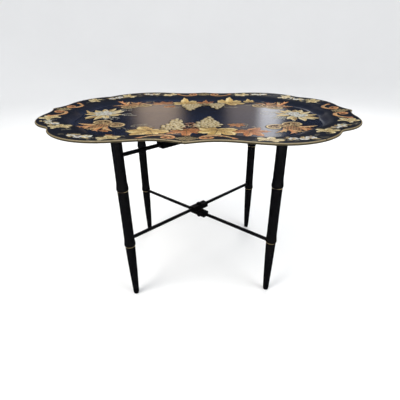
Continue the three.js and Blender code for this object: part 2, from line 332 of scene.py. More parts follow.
def ebonised_material(name, gloss_low, gloss_high):
    """Black lacquer on turned wood: faint grain, a little brown where hands have rubbed it."""
    s = Shader(name, Coat_Weight=0.5, Coat_Roughness=0.12)
    grain = s.noise(30.0, 6.0, 0.6, s.stretched((14.0, 14.0, 0.6)))
    rub = s.noise(16.0, 5.0, 0.6)
    colour = s.mix(s.ramp(grain, 0.0, 1.0, 0.35, 0.7), srgb(8, 8, 10), srgb(19, 18, 20))
    colour = s.mix(s.ramp(rub, 0.0, 0.5, 0.62, 0.78), colour, srgb(44, 30, 22))
    s.feed(Base_Color=colour, Roughness=s.ramp(rub, gloss_low, gloss_high, 0.3, 0.75))
    s.bump((grain, 0.12, 0.08), (s.noise(300.0, 3.0), 0.05, 0.03))
    return s.material


def steel_material():
    """Blackened steel, with the odd rust bloom."""
    s = Shader("blackened_steel")
    patches = s.noise(180.0, 6.0, 0.65)
    rust = s.ramp(patches, 0.0, 0.7, 0.58, 0.72)
    s.feed(Base_Color=s.mix(rust, srgb(52, 52, 56), srgb(96, 54, 30)))
    s.feed(Metallic=s.ramp(rust, 0.95, 0.1), Roughness=s.ramp(patches, 0.34, 0.7))
    s.bump((patches, 0.3, 0.1))
    return s.material


def fibre_material():
    """Dull brown vulcanised fibre."""
    s = Shader("fibre", Roughness=0.85)
    threads = s.noise(400.0, 5.0, 0.6, s.stretched((1.0, 4.0, 1.0)))
    s.feed(Base_Color=s.mix(threads, srgb(46, 32, 24), srgb(84, 60, 42)))
    s.bump((threads, 0.5, 0.1))
    return s.material


def wire_material():
    """Drawn steel wire."""
    s = Shader("plain_wire", Metallic=1.0)
    draw = s.noise(300.0, 3.0)
    colour = s.mix(draw, srgb(120, 118, 114), srgb(165, 162, 156))
    s.feed(Base_Color=colour, Roughness=s.ramp(draw, 0.3, 0.5))
    return s.material


LACQUER = lacquer_material()
GILT = gilt_material("gilt_edge", wear=0.6, painted_shade_below=16.2)
GILT_LINE = gilt_material("gilt_line", wear=0.5)
PAINT = paint_material()
EBONISED = ebonised_material("ebonised_legs", 0.1, 0.26)
EBONISED_RAILS = ebonised_material("ebonised_rails", 0.26, 0.46)
STEEL = steel_material()
FIBRE = fibre_material()
WIRE = wire_material()


# ---- the tray --------------------------------------------


def even_steps(points, count):
    """count points at even spacing along a run of points, leaving out its end."""
    gaps = np.hypot(*np.diff(points, axis=0).T)
    along = np.concatenate([[0], np.cumsum(gaps)])
    stops = np.linspace(0, along[-1], count, endpoint=False)
    return np.stack([np.interp(stops, along, points[:, i]) for i in (0, 1)], 1)


def quarter_outline():
    """The quarter's curves as one run of close points."""
    t = np.linspace(0, 1, 200)[1:, None]
    run = np.array(QUARTER[:1], float)
    for a, b, c, d in (np.array(QUARTER[i : i + 4], float) for i in range(0, len(QUARTER) - 1, 3)):
        curve = (1 - t) ** 3 * a + 3 * (1 - t) ** 2 * t * b + 3 * (1 - t) * t**2 * c + t**3 * d
        run = np.vstack([run, curve])
    return run


def whole_outline():
    """The outline anticlockwise from the point on +X, evenly spaced, with the points kept."""
    first = quarter_outline()
    second = first[::-1] * [-1, 1]
    return np.vstack([even_steps(run, QUARTER_STEPS) for run in (first, second, -first, -second)])


OUTLINE = whole_outline()
STEP = float(np.hypot(*(OUTLINE[11] - OUTLINE[10])))  # any two neighbours, away from the points
QUARTER_LENGTH = STEP * QUARTER_STEPS


def softened(points, sigma):
    """A closed, evenly spaced outline blurred along itself."""
    z = np.fft.fft(points[:, 0] + 1j * points[:, 1])
    frequency = np.fft.fftfreq(len(points), STEP)
    z = np.fft.ifft(z * np.exp(-0.5 * (2 * math.pi * frequency * sigma) ** 2))
    return np.stack([z.real, z.imag], 1)


SOFT_OUTLINE = softened(OUTLINE, COVE_SOFTNESS)
ahead = np.roll(OUTLINE, -2, 0) - np.roll(OUTLINE, 2, 0)
INWARD = left_of(ahead) / np.hypot(*ahead.T)[:, None]


def inset_ring(inset, index=slice(None)):
    """The outline, or its points at an index, moved in by one inset or by one for each point: square
    to the edge over the roll, then by shrinking and softening."""
    square = np.minimum(inset, 2 * ROLL_RADIUS)
    shrink = inset - square
    soft = np.minimum(shrink / SOFTENED_BY, 1)
    ring = OUTLINE[index] * (1 - soft) + SOFT_OUTLINE[index] * soft
    return ring * (1 - shrink / np.array([HALF_WIDTH, HALF_DEPTH])) + INWARD[index] * square


def sheet_middle():
    """The middle of the sheet as (inset, height), from the floor's edge out and round the roll."""
    bend = ROLL_RADIUS - SHEET / 2
    top = TRAY_HEIGHT - ROLL_RADIUS
    a = np.radians(np.linspace(90 + BRIM_SLOPE_DEG, -140, 22))
    roll = np.stack([ROLL_RADIUS - bend * np.cos(a), top + bend * np.sin(a)], 1)
    low = roll[0, 1] - (BRIM_INNER - roll[0, 0]) * math.tan(math.radians(BRIM_SLOPE_DEG))
    floor = [(FLOOR_RING, SHEET / 2), (FLOOR_EDGE, 0.7)]
    cove = [(76, 1.9), (69, 5.2), (62.5, 9.6), (57, low - 1.3), (BRIM_INNER, low)]
    side = smooth_through(floor + cove, 5)
    inset = np.linspace(BRIM_INNER, roll[0, 0], 14)[1:-1]
    share = (BRIM_INNER - inset) / (BRIM_INNER - roll[0, 0])
    brim_height = low + (roll[0, 1] - low) * share - 0.5 * np.sin(math.pi * share)
    return np.vstack([side, np.stack([inset, brim_height], 1), roll])


MIDDLE = sheet_middle()
ACROSS = left_of(headings(MIDDLE)) * SHEET / 2
UPPER_FACE, LOWER_FACE = MIDDLE - ACROSS, MIDDLE + ACROSS
UPPER_SECTION = UPPER_FACE[: int(np.argmax(UPPER_FACE[:, 1])) + 1]


def build_tray():
    """The sheet with its rolled edge, as one closed mesh of rings from the floor out and back."""
    floor_shares = (0.1, 0.35, 0.6, 0.82)  # rings across the flat floor, as shares of its edge
    section = [
        *[(FLOOR_RING, SHEET, share) for share in floor_shares],
        *[(*p, 1.0) for p in UPPER_FACE],
        *[(*p, 1.0) for p in LOWER_FACE[::-1]],
        *[(FLOOR_RING, 0.0, share) for share in floor_shares[::-1]],
    ]
    points = []
    for inset, height, share in section:
        ring = inset_ring(inset) * share
        points.extend((x * MM, y * MM, TRAY_BASE_Z + height * MM) for x, y in ring)
    count = len(OUTLINE)
    faces = [f[::-1] for f in grid_faces(len(section), count, wrap=True)]
    last = (len(section) - 1) * count
    faces.append(list(range(count)))
    faces.append([last + i for i in range(count)][::-1])
    gilded = np.array([inset <= ROLL_RADIUS + GILT_BAND for inset, _, _ in section])
    bands = (gilded[:-1] & gilded[1:]).astype(int)
    slots = [*np.repeat(bands, count).tolist(), 0, 0]
    tray = make_object("tray_sheet", points, faces, [LACQUER, GILT], slots)
    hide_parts("tray_body")
    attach(tray, "tray")


build_tray()


def upper_heights(xy):
    """The tray's upper surface over its underside, under plan points, in millimetres."""
    angle, reach = np.arctan2(xy[:, 1], xy[:, 0]), np.hypot(*xy.T)
    radii = []
    for inset, _ in UPPER_SECTION:
        ring = inset_ring(inset)
        ring_angle = np.arctan2(ring[:, 1], ring[:, 0])
        radii.append(np.interp(angle, ring_angle, np.hypot(*ring.T), period=2 * math.pi))
    radii = np.array(radii)
    lower = np.clip((radii < reach).sum(0) - 1, 0, len(radii) - 2)
    every = np.arange(len(xy))
    near, far = radii[lower, every], radii[lower + 1, every]
    share = np.clip((reach - near) / (far - near), 0, 1)
    heights = UPPER_SECTION[:, 1]
    return heights[lower] * (1 - share) + heights[lower + 1] * share


# ---- where painted motifs go -----------------------------


def at(x, y, turn=0.0, mirror=False):
    """Places a motif on the tray: mirrored if asked, turned by degrees, then moved to x, y."""
    c, s = towards(turn)

    def place(p):
        u, v = p[:, 0] * (-1 if mirror else 1), p[:, 1]
        return np.stack([x + c * u - s * v, y + s * u + c * v], 1)

    return place


def along_brim(depth, sx, sy, from_long_side):
    """Places a motif along the brim: u runs along the edge away from a point of the outline, and v
    runs outwards from an inset of depth. sx and sy choose the quarter."""

    def place(p):
        index = (QUARTER_LENGTH - p[:, 0] if from_long_side else p[:, 0]) / STEP
        inset = np.clip(depth - p[:, 1], 0, FLOOR_EDGE)[:, None]
        lower = np.floor(index).astype(int)
        part = (index - lower)[:, None]
        rings = [inset_ring(inset, i % len(OUTLINE)) for i in (lower, lower + 1)]
        return (rings[0] * (1 - part) + rings[1] * part) * [sx, sy]

    return place


class Layer:
    """One painted piece: many patches of paint gathered into a single thin mesh."""

    def __init__(self, name, lift=0.0):
        self.name, self.lift = name, lift
        self.xy, self.lifts, self.colours, self.faces, self.count = [], [], [], [], 0

    def add(self, patch, place, above=0.0):
        """Adds a patch where place puts it, with all its faces turned upwards."""
        points, faces, colours, lifts = patch
        xy = place(np.asarray(points, float))
        self.xy.append(xy)
        self.lifts.append(np.asarray(lifts, float) + above + self.lift)
        self.colours.append(np.asarray(colours, float))
        quads = np.array(faces)
        x, y = xy[quads, 0], xy[quads, 1]
        turned = (x * np.roll(y, -1, 1) - y * np.roll(x, -1, 1)).sum(1) < 0
        quads[turned] = quads[turned][:, ::-1]
        self.faces.extend((quads + self.count).tolist())
        self.count += len(xy)

    def build(self):
        """Lays all the patches on the tray's upper surface, as one piece."""
        xy = np.vstack(self.xy)
        lifts = np.concatenate(self.lifts)
        sheet = upper_heights(xy)
        top = TRAY_HEIGHT - 0.01  # paint never stands above the rolled edge
        room = np.maximum(top - sheet, 0.001)
        z = np.minimum(sheet + room * (1 - np.exp(-lifts / room)), top)
        points = np.column_stack([xy, TRAY_BASE_Z / MM + z]) * MM
        obj = make_object(self.name, points, self.faces, [PAINT])
        colour_points(obj, "paint", np.vstack(self.colours))
        thick = obj.modifiers.new("paint_body", "SOLIDIFY")
        thick.thickness, thick.offset = PAINT_BODY * MM, -1
        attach(obj, "tray")


# ---- painted shapes --------------------------------------
# Each gives a patch: plan points, faces, colours and heights above the tray, all in millimetres.


def blend(a, b, t):
    """Colours on the way from a to b."""
    t = np.clip(np.asarray(t, float), 0, 1)[..., None]
    return np.asarray(a) * (1 - t) + np.asarray(b) * t


def ribbon(path, widths, edge, core, crown):
    """A band of paint along a path, with its own colours at the edges and down the middle."""
    path = np.asarray(path, float)
    spread = np.array([-1, -0.62, 0, 0.62, 1])
    widths = np.broadcast_to(np.asarray(widths, float), (len(path),))
    offsets = np.maximum(widths, 0.12)[:, None] * spread / 2
    side = left_of(headings(path))
    points = (path[:, None, :] + side[:, None, :] * offsets[:, :, None]).reshape(-1, 2)
    share = np.tile(1 - np.abs(spread) ** 1.6, len(path))
    lifts = 0.05 + crown * np.outer(np.minimum(widths / 3, 1), 1 - spread**2).ravel()
    return points, grid_faces(len(path), len(spread)), blend(edge, core, share), lifts


def line(start, end, bow, steps=9):
    """A run of points from start to end, bowed to the left by a share of its length."""
    start, end = np.array(start, float), np.array(end, float)
    t = np.linspace(0, 1, steps)[:, None]
    return start + (end - start) * t + left_of(end - start) * bow * 4 * t * (1 - t)


def taper(count, first, last):
    return np.linspace(first, last, count)


def petal_widths(count, full_at):
    """Widths of a leaf or petal that is pointed at both ends and fullest part of the way along."""
    t = np.linspace(0, 1, count)
    shape = t ** (math.log(0.5) / math.log(full_at))
    return np.sin(math.pi * shape) ** 0.85


def disc(radius, colour_of, dome, base=0.05, segments=18):
    """A round dab. colour_of takes the points as a share of the radius."""
    rings = np.array([0.001, 0.35, 0.65, 0.88, 1.0])
    a = np.linspace(0, 2 * math.pi, segments, endpoint=False)
    unit = np.stack([np.outer(rings, np.cos(a)), np.outer(rings, np.sin(a))], 2).reshape(-1, 2)
    faces = grid_faces(len(rings), segments, wrap=True)
    lifts = base + dome * np.sqrt(np.maximum(1 - np.repeat(rings, segments) ** 2, 0))
    return unit * radius, faces, colour_of(unit), lifts


def leaf_reach(degrees, lobes, profile):
    """The edge of a lobed leaf, with a notch for its stalk at 270 degrees."""
    reach = np.full(degrees.shape, 0.4)
    for direction, length, half_width in lobes:
        off = np.abs(degrees_off(degrees, direction)) / half_width
        reach = np.maximum(reach, np.where(off < 1, length * np.interp(off, *profile), 0))
    notch = np.abs(degrees_off(degrees, 270)) / 40
    return np.where(notch < 1, 0.12 + 0.3 * notch**0.7, reach)


# How far a lobe reaches, from its middle line (0) to where it meets the next lobe (1).
VINE_EDGE = ((0, 0.2, 0.4, 0.5, 0.75, 0.8, 1.0), (1.0, 0.9, 0.86, 0.88, 0.7, 0.72, 0.46))
MAPLE_EDGE = ((0, 0.22, 0.42, 0.6, 0.72, 1.0), (1.0, 0.78, 0.82, 0.58, 0.6, 0.44))
ROUND_EDGE = ((0, 0.3, 0.55, 0.8, 1.0), (1.0, 0.97, 0.86, 0.66, 0.42))
# How wide a bunch is, from its top (0) to its tip (1).
BUNCH_EDGE = ((0, 0.2, 0.45, 0.62, 0.8, 1), (0.8, 1, 0.8, 0.5, 0.34, 0.08))
GRAPE_RADIUS = 5.1
LOBE_HALF = 28  # degrees from the middle of an upper lobe to its edge
# Each lobe's direction, length and half width.
FIVE_LOBES = [(90, 1.0, LOBE_HALF), (38, 0.95, LOBE_HALF), (142, 0.95, LOBE_HALF)]
FIVE_LOBES += [(-14, 0.84, 34), (194, 0.84, 34)]
BRIM_LOBES = [(90, 0.95, 36), (26, 1.0, 34), (154, 1.0, 34), (-40, 0.86, 34), (220, 0.86, 34)]


def leaf(place, length, lobes, profile, colours, seed, above=0.0):
    """A vine or maple leaf with its tip towards +v, a dark ground under it and veins over it."""
    rng = random.Random(seed)
    light, mid, dark = colours
    segments = 180
    degrees = np.linspace(0, 360, segments, endpoint=False)
    bent = [(d + rng.uniform(-5, 5), r * rng.uniform(0.92, 1.06), w) for d, r, w in lobes]
    rings = np.array([0.004, 0.16, 0.34, 0.52, 0.7, 0.84, 0.94, 1.0])
    r = np.outer(rings, leaf_reach(degrees, bent, profile))
    angle = np.radians(degrees)
    points = np.stack([r * np.cos(angle), r * np.sin(angle)], 2).reshape(-1, 2) * length
    off = np.array([degrees_off(degrees, d) for d, _, _ in bent])
    nearest = np.argmin(np.abs(off), axis=0)
    signed = off[nearest, np.arange(segments)] / LOBE_HALF  # from one side of a lobe to the other
    fold = np.tile(np.clip(np.abs(signed), 0, 1), len(rings))
    hand = np.tile(np.clip(signed * 4, -1, 1), len(rings))
    share = np.repeat(rings, segments)
    streaks = np.tile([rng.uniform(-0.5, 0.5) for _ in range(segments)], len(rings))
    lit = 0.5 + 0.26 * hand * share - 0.3 * fold * (1 - share) + 0.22 * share**3 + 0.16 * streaks
    hues = blend(blend(dark, mid, lit * 2), light, lit * 2 - 1)
    lifts = 0.12 + 0.3 * (1 - share**3) + 0.1 * np.sin(fold * math.pi) * share * (1 - share)
    leaves.add((points, grid_faces(len(rings), segments, wrap=True), hues, lifts), place, above)
    band = points[-3 * segments :] * 1.04 + [0.5, -0.6]  # the outer rings again, as the ground
    ground = np.tile(SHADOW, (len(band), 1))
    faces = grid_faces(3, segments, wrap=True)
    leaves.add((band, faces, ground, np.zeros(len(band))), place, above + 0.03)
    for direction, reach, _ in bent:
        paint_veins(place, towards(direction), length * reach, length * 0.05, above)


def paint_veins(place, d, reach, thick, above):
    """The vein down one lobe, and three pairs of side veins off it."""
    stem = line((0, 0), d * reach * 0.84, 0.03)
    veins.add(ribbon(stem, taper(9, thick, 0.4), VEIN, VEIN, 0.05), place, above + 0.44)
    for along in (0.28, 0.48, 0.68):
        foot = stem[-1] * along
        spread = reach * (0.34 - 0.26 * along)
        for turn in (-1, 1):
            twig = line(foot, foot + (d * 0.8 + left_of(d) * turn * 0.62) * spread, 0.06 * turn, 5)
            veins.add(ribbon(twig, taper(5, thick * 0.42, 0.25), VEIN, VEIN, 0.03), place, above + 0.42)


def grape(rng, tint, shade):
    """One domed dab, lit from the upper right and brown down its left side."""

    def colour_of(unit):
        lit = 0.58 + 0.42 * (unit[:, 0] * 0.6 + unit[:, 1] * 0.8) - 0.3 * (unit**2).sum(1) ** 2
        colours = blend(shade, tint, lit + rng.uniform(-0.12, 0.12))
        shine = np.exp(-((unit[:, 0] - 0.25) ** 2 + (unit[:, 1] - 0.32) ** 2) / 0.07)
        return blend(colours, WHITE, shine * 0.8)

    return colour_of


def berry(x, y, radius, rng, tint, above, shade=CREAM_DARK, place=at(0, 0)):
    """A grape or a berry, over a dark ground that shows as a shadow below and to the left."""
    dot = disc(radius, grape(rng, tint, shade), dome=0.45, segments=14)
    ground = disc(radius * 1.3, lambda u: np.tile(SHADOW, (len(u), 1)), dome=0.0, base=0.06, segments=12)
    grapes.add((dot[0] + [x, y], *dot[1:]), place, above)
    grapes.add((ground[0] + [x - 0.3, y - 0.6], *ground[1:]), place, above * 0.4)


def bunch(top, tip, width, seed):
    """A bunch of grapes that hangs from top to tip, wide and ragged at the shoulders."""
    rng = random.Random(seed)
    top, tip = np.array(top, float), np.array(tip, float)
    length = np.hypot(*(tip - top))
    axis = (tip - top) / length
    rows = round(length / (GRAPE_RADIUS * 1.42))
    jitter = GRAPE_RADIUS * 0.42
    for t in np.arange(rows) / (rows - 1):
        half = width / 2 * float(np.interp(t, *BUNCH_EDGE)) * rng.uniform(0.7, 1.16)
        count = max(1, round(2 * half / (GRAPE_RADIUS * 1.66)) + (half > GRAPE_RADIUS))
        for k in range(count):
            offset = 0 if count == 1 else (2 * k / (count - 1) - 1) * half
            down = length * t + rng.uniform(-jitter, jitter)
            spot = top + axis * down + left_of(axis) * (offset + rng.uniform(-jitter, jitter))
            hue = blend(CREAM, GOLD, max(0.0, rng.uniform(-0.8, 0.6)))
            berry(*spot, GRAPE_RADIUS * rng.uniform(0.85, 1.1), rng, hue, 0.42 + 0.2 * rng.random())


def cluster(x, y, across, tall, count, seed, tints, shade):
    """A loose heap of small dark berries between the bunches, with pale crossed strokes."""
    rng = random.Random(seed)
    for _ in range(count):
        a, r = rng.uniform(0, 2 * math.pi), rng.random() ** 0.7
        u, v = x + across * r * math.cos(a), y + tall * r * math.sin(a)
        radius, tint = rng.uniform(3.0, 4.4), blend(*tints, rng.random())
        berry(u, v, radius, rng, tint, 0.28 + 0.1 * rng.random(), shade)
    for _ in range(count // 2):
        u, v = x + rng.uniform(-0.7, 0.7) * across, y + rng.uniform(-0.7, 0.7) * tall
        lean = rng.choice((0.9, 2.2)) + rng.uniform(-0.3, 0.3)
        reach = rng.uniform(5, 9)
        stroke = line((u, v), (u + reach * math.cos(lean), v + reach * math.sin(lean)), 0.1, 6)
        veins.add(ribbon(stroke, 1.1 * petal_widths(6, 0.4), CREAM, CREAM, 0.08), at(0, 0), 0.9)


def blossom(place, radius, rng, above):
    """A five-petalled white flower, cool and green towards its gold eye."""
    start = rng.uniform(0, 360)
    shade = rng.choice((COOL_SHADE, GREEN_SHADE, MAUVE_SHADE))
    t = np.linspace(0, 1, 8)
    widths = radius * 0.95 * np.sqrt(np.sin(math.pi * (0.06 + 0.88 * t**0.8)))
    for k in range(5):
        d = towards(start + k * 72 + rng.uniform(-8, 8))
        path = line(d * radius * 0.1, d * radius * rng.uniform(0.9, 1.05), 0.0, len(t))
        points, faces, hues, lifts = ribbon(path, widths, PETAL, WHITE, 0.3)
        fade = 1 - np.hypot(*points.T) / (radius * 0.75)
        flowers.add((points, faces, blend(hues, shade, fade), lifts), place, above + 0.04 * k)
    eye = disc(radius * 0.2, lambda u: blend(GOLD, GOLD_DARK, (u**2).sum(1)), 0.25)
    flowers.add(eye, place, above + 0.5)


def lance(layer, start, end, width, light, dark, place, bow, above):
    """A pointed leaf, one half lighter than the other, with a vein down the middle."""
    path = line(start, end, bow, 12)
    points, faces, _, lifts = ribbon(path, width * petal_widths(12, 0.4), light, dark, 0.28)
    halves = np.tile([1.0, 0.9, 0.4, 0.1, 0.3], 12)
    layer.add((points, faces, blend(dark, light, halves), lifts), place, above)
    layer.add(ribbon(path[1:-1], taper(10, width * 0.1, 0.2), VEIN, VEIN, 0.04), place, above + 0.27)


def walk(degrees, length):
    """A path of even steps and the given length, which follows a heading given at each step."""
    a = np.radians(degrees)
    path = np.stack([np.cumsum(np.cos(a)), np.cumsum(np.sin(a))], 1)
    return (path - path[0]) * length / (len(path) - 1)


def wound(length, knots):
    """A path whose heading, in degrees, is eased through knots of (share of the way, heading)."""
    heading = np.interp(np.linspace(0, 1, 90), *zip(*knots))
    return walk(np.convolve(np.pad(heading, 5, mode="edge"), np.ones(11) / 11, "valid"), length)


def scroll(path, place, width, outer, inner, teeth, above=0.2):
    """A C-scroll: a dark ground, a brown ribbon with a pale outer edge, teeth on its inner side and
    a bead in each eye."""
    count = len(path)
    widths = width * (0.3 + 0.7 * (1 - np.abs(np.linspace(-1, 1, count)) ** 1.8))
    scrolls.add(ribbon(path, widths * 1.35 + 1.5, SHADOW, SHADOW, 0.02), place, above - 0.16)
    scrolls.add(ribbon(path, widths, inner, inner, 0.26), place, above)
    ahead = headings(path)
    side = -left_of(ahead)
    rim = path + side * widths[:, None] * 0.3
    scrolls.add(ribbon(rim, widths * 0.46, outer, outer, 0.2), place, above + 0.22)
    for end in (0, -1):
        spot = disc(width * 0.5, lambda u: blend(outer, inner, (u**2).sum(1) * 1.4), 0.4)
        scrolls.add((spot[0] + path[end], *spot[1:]), place, above + 0.1)
    swell = width * petal_widths(6, 0.4)
    for k in range(teeth):
        i = int((0.2 + 0.6 * k / (teeth - 1)) * (count - 1))
        root = path[i] - side[i] * widths[i] * 0.1
        tooth = line(root, root - side[i] * width * 0.85, 0.12, 6)
        scrolls.add(ribbon(tooth, 0.2 * swell, SHADOW, VEIN, 0.1), place, above + 0.28)
        fleck = line(root, root - side[i] * width * 0.62, 0.12, 6) + ahead[i] * width * 0.22
        scrolls.add(ribbon(fleck, 0.12 * swell, outer, inner, 0.1), place, above + 0.3)


def flame(points, place, width, light, dark, above, hand=1):
    """A curling acanthus blade along a smooth run, with three small blades off one side."""
    path = smooth_through(points, 9)
    count = len(path)
    shares = np.linspace(0, 1, count)
    widths = width * np.interp(shares, (0, 0.16, 0.35, 0.65, 1), (0.1, 0.8, 1.0, 0.66, 0.03))
    face, faces, _, lifts = ribbon(path, widths, light, dark, 0.3)
    halves = [0.3, 0.15, 0.4, 0.85, 1.0][::hand]
    scrolls.add((face, faces, blend(dark, light, np.tile(halves, count)), lifts), place, above)
    scrolls.add(ribbon(path, widths * 1.3 + 1.0, SHADOW, SHADOW, 0.01), place, above - 0.14)
    ahead = headings(path)
    for share, reach in ((0.2, 1.0), (0.38, 1.15), (0.56, 1.0)):
        i = int(share * (count - 1))
        out = left_of(ahead[i]) * hand
        root = path[i] + out * widths[i] * 0.2
        end = root + (out * 0.6 + ahead[i]) * width * reach * 0.85
        lance(scrolls, root, end, width * 0.5, light, dark, place, -0.2 * hand, above - 0.03)


def lattice(place, inside, spacing, width, colour, reach, ground):
    """Crossed lines, drawn only where inside(u, v) is true, over a dark ground."""
    rings = np.vstack([np.array(ground, float) * share for share in (0.02, 0.4, 0.75, 1.0)])
    faces = grid_faces(4, len(ground), wrap=True)
    lattices.add((rings, faces, np.tile(BLACK, (len(rings), 1)), np.full(len(rings), 0.02)), place)
    for hand, high in ((-1, 0.08), (1, 0.16)):
        d = towards(45 * hand)
        for k in range(-int(reach / spacing), int(reach / spacing) + 1):
            run = left_of(d) * k * spacing + d * np.linspace(-reach, reach, 121)[:, None]
            within = [i for i, (u, v) in enumerate(run) if inside(u, v)]
            if len(within) >= 5:
                first, last = within[0], within[-1]
                few = run[np.linspace(first, last, max(4, (last - first) // 6)).astype(int)]
                lattices.add(ribbon(few, width, colour, colour, 0.08), place, high)


def tendril(place, length, turn, width):
    """A fine stroke that sets off along +u and winds up to the left, through turn degrees."""
    path = walk(turn * np.linspace(0, 1, 26) ** 2.4, length)
    fine = width * taper(len(path), 1.0, 0.45)
    tendrils.add(ribbon(path, fine, TENDRIL, TENDRIL, 0.08), place, 0.05)


# ---- the decoration --------------------------------------

leaves = Layer("painted_leaves")
veins = Layer("painted_veins")
grapes = Layer("painted_grapes", lift=0.5)
flowers = Layer("painted_flowers")
scrolls = Layer("painted_scrolls")
lattices = Layer("painted_lattice")
tendrils = Layer("painted_tendrils")

# The kinds of leaf on the floor: edge and colours.
VINE = (VINE_EDGE, (GOLD_LIGHT, GOLD, GOLD_DARK))
MAPLE = (MAPLE_EDGE, (COPPER_LIGHT, COPPER, COPPER_DARK))
# Leaves on the floor, from the lowest to the topmost: x, y, length of the middle lobe, turn and
# kind. A leaf's x and y are where its stalk joins it.
FLOOR_LEAVES = [
    (5, 188, 41, -3, MAPLE), (-122, 176, 45, 14, MAPLE), (-52, 180, 50, 16, VINE),
    (84, 188, 54, -52, VINE), (149, 213, 22, 8, VINE), (-94, 122, 24, 12, MAPLE),
    (-14, -156, 50, 184, MAPLE), (124, -156, 50, 214, MAPLE), (-94, -160, 56, 152, VINE),
    (54, -152, 55, 172, VINE), (96, -98, 27, 190, MAPLE), (-166, -206, 22, 160, MAPLE),
    (-193, -166, 17, -20, MAPLE),
]


def paint_floor_leaves():
    for i, (x, y, length, turn, kind) in enumerate(FLOOR_LEAVES):
        above = 0.42 * (i % 6 > 1) if length > 30 else 0.0
        place = at(x, y, turn)
        leaf(place, length, FIVE_LOBES, *kind, seed=100 + i, above=above)
        stalk = line((0, -length * 0.1), (length * 0.16, -length * 0.5), 0.12)
        veins.add(ribbon(stalk, taper(9, 1.8, 0.9), GOLD_DARK, GOLD, 0.12), place, above + 0.3)


# Each bunch's top, tip, width and seed.
BUNCHES = [
    ((-28, 160), (-29, 68), 50, 3),
    ((46, 176), (46, 92), 44, 8),
    ((-46, -150), (-47, -48), 46, 15),
    ((30, -128), (31, -24), 54, 21),
]


def paint_bunches():
    cluster(10, 158, 13, 26, 22, 4, (OLIVE, GOLD), VEIN)
    cluster(-11, -116, 18, 28, 30, 5, (RUSSET, COPPER), BLACK)
    for top, tip, width, seed in BUNCHES:
        bunch(top, tip, width, seed)


SPRAY_X, SPRAY_Y = 257, 16  # the middle of the spray near the right-hand short side


def paint_spray(side):
    """The spray of white blossom near a short side: pointed leaves, flowers and fine twigs."""
    rng = random.Random(40 + side)
    middle = (side * SPRAY_X, SPRAY_Y)
    centre = at(*middle)
    for k in range(13):
        d = towards(k * 360 / 13 + rng.uniform(-9, 9)) * [0.82, 1.12]
        root, tip = rng.uniform(18, 24), rng.uniform(60, 71)
        light, dark = (CREAM, GOLD) if k % 3 else (GOLD_LIGHT, GOLD_DARK)
        bow, above = rng.uniform(-0.12, 0.12), 0.1 + 0.05 * (k % 4)
        lance(flowers, d * root, d * tip, rng.uniform(17, 20), light, dark, centre, bow, above)
    for k in range(6):
        d = towards(k * 60 + rng.uniform(-18, 18)) * [1, 1.15]
        lance(flowers, d * 12, d * rng.uniform(30, 38), 8, PETAL, COOL_SHADE, centre, -0.08, 0.42)
    for k in range(10):
        ring, start = (0, 0) if k == 0 else (13, 0) if k < 6 else (21, 36)
        spot = towards(k * 72 + start + rng.uniform(-14, 14)) * [ring, 1.15 * ring] + middle
        blossom(at(*spot), rng.uniform(7.6, 9.4), rng, 0.6 + 0.1 * k)
    for _ in range(11):
        d = towards((180 if side > 0 else 0) + rng.uniform(-78, 78))
        paint_twig(d, rng.uniform(66, 96), centre, rng)


def paint_twig(d, far, centre, rng):
    """A fine twig from the middle of a spray out to far, with small buds off it."""
    steps = 21
    twig = line(d * 34, d * far, rng.uniform(-0.16, 0.16), steps)
    tendrils.add(ribbon(twig, taper(steps, 1.3, 0.5), TENDRIL, TENDRIL, 0.08), centre, 0.06)
    for share in (0.35, 0.5, 0.65, 0.8, 0.95):
        foot = twig[int(share * (steps - 1))]
        hand = rng.choice((-1, 1))
        tip = foot + d * 6 + left_of(d) * hand * rng.uniform(4, 8)
        bud = ribbon(line(foot, tip, 0.1 * hand, 5), 1.4 * petal_widths(5, 0.6), PETAL, TENDRIL, 0.08)
        tendrils.add(bud, centre, 0.1)


# The middle of the ornament in each corner of the floor.
CORNERS = {(-1, 1): (-209, 148), (1, 1): (209, 148), (-1, -1): (-219, -120), (1, -1): (219, -124)}
CORNER_TURN = 57  # the ornament's axis, measured from the tray's long axis
# The knots of its scroll: share of the way and heading in degrees.
CORNER_SCROLL = [
    (0, -330), (0.08, -200), (0.16, -90), (0.26, -35), (0.42, 10),
    (0.55, 70), (0.68, 150), (0.8, 240), (0.9, 340), (1, 480),
]
CORNER_GROUND = [(-17, -30), (17, -30), (19, 0), (14, 27), (-14, 27), (-19, 0)]
# The flames on each side of the ornament: points, width, light colour, height above the tray and hand.
CORNER_FLAMES = [
    ([(20, -6), (29, 8), (44, 12), (63, 16)], 11, CREAM_GOLD, 0.36, 1),
    ([(15, 4), (19, 20), (27, 31), (40, 37)], 11, COPPER_LIGHT, 0.3, 1),
    ([(13, 12), (12, 26), (6, 33), (2, 41)], 8, CREAM_GOLD, 0.42, -1),
]


def paint_corner(sx, sy):
    """The rococo ornament in one corner of the floor: two scrolls, a lattice and six flames."""
    turned = at(0, 0, CORNER_TURN - 90)

    def place(p):
        return turned(p) * [sx, sy] + CORNERS[sx, sy]

    def inside(u, v):
        return abs(u) < 17 - 0.12 * abs(v) and -30 < v < 27

    lattice(place, inside, 6.0, 0.9, COPPER_LIGHT, 44, CORNER_GROUND)
    path = wound(142, CORNER_SCROLL)
    path = path - path[-1] + [34, -19]
    for hand in (1, -1):

        def half(p, hand=hand):
            return place(p * [hand, 1])

        scroll(path, half, 9, CREAM_GOLD, BROWN, teeth=12, above=0.24)
        for points, width, light, above, bend in CORNER_FLAMES:
            flame(points, half, width, light, COPPER, above, bend)


